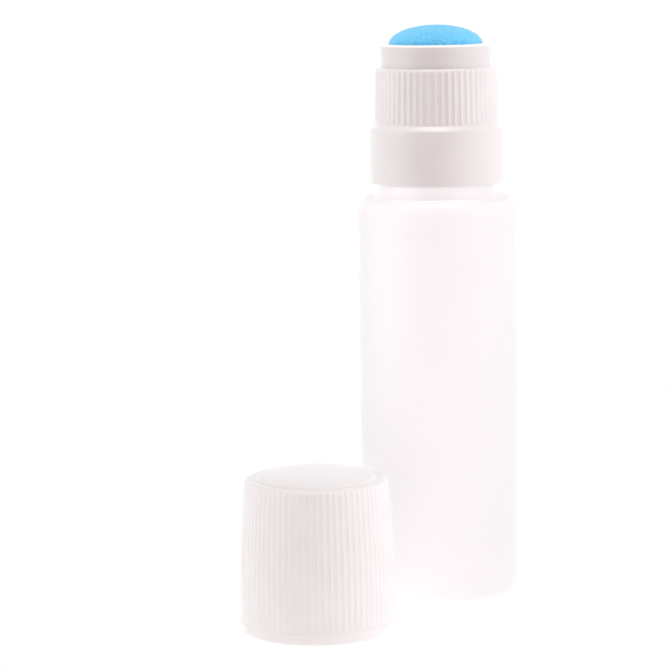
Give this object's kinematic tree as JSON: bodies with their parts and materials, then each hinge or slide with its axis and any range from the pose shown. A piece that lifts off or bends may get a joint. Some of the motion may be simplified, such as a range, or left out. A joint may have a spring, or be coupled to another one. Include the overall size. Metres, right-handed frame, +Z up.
{
  "type": "sponge-tip lens cleaner bottle",
  "caption": "Small round plastic bottle with a screw-on, spring-valved sponge applicator and a ribbed push-on cap, for wiping lens cleaner onto spectacle lenses.",
  "frame": {"origin": "centre of the bottle's flat base, on the bottle's axis and on the surface it stands on", "axes": "+Z up along the bottle's axis; -Y towards the side where the cap stands; +X to the right seen from there"},
  "size_m": [0.0566, 0.0606, 0.1167],
  "materials": {
    "bottle_plastic": "natural, slightly translucent, satin",
    "white_plastic": "moulded white, soft gloss",
    "inner_plastic": "natural moulded",
    "sponge": "fine open-cell foam, sky blue",
    "seal_foam": "closed-cell foam",
    "valve_rubber": "matte",
    "spring_steel": "drawn wire"
  },
  "bodies": {
    "bottle": {"bottle": "bottle_plastic"},
    "head_seal": {"neck_seal": "seal_foam"},
    "applicator_head": {"applicator_collar": "white_plastic", "sponge_ring": "white_plastic", "valve_cup": "inner_plastic", "valve_spring": "spring_steel"},
    "sponge_plunger": {"sponge_tip": "sponge", "sponge_plate": "inner_plastic", "valve_stem": "white_plastic", "valve_disc": "valve_rubber"},
    "cap": {"cap_shell": "white_plastic", "cap_liner": "seal_foam"}
  },
  "joints": [
    {"name": "cap_lift", "type": "slide", "parent": "bottle", "child": "cap", "axis": [0, 0, 1], "range_m": [0, 0.12]},
    {"name": "head_rise", "type": "slide", "parent": "bottle", "child": "head_seal", "axis": [0, 0, 1], "range_m": [0, 0.004]},
    {"name": "head_turn", "type": "hinge", "parent": "head_seal", "child": "applicator_head", "pos_m": [0, 0, 0.0926], "axis": [0, 0, 1], "range_deg": [0, 450]},
    {"name": "sponge_press", "type": "slide", "parent": "applicator_head", "child": "sponge_plunger", "axis": [0, 0, -1], "range_m": [0, 0.0025], "stiffness_N_per_m": 500, "springref_m": -0.002, "deforming": ["valve_spring"]}
  ],
  "couplings": [
    {"joint": "head_rise", "follows": "head_turn", "m_per_rad": 0.00050532}
  ]
}
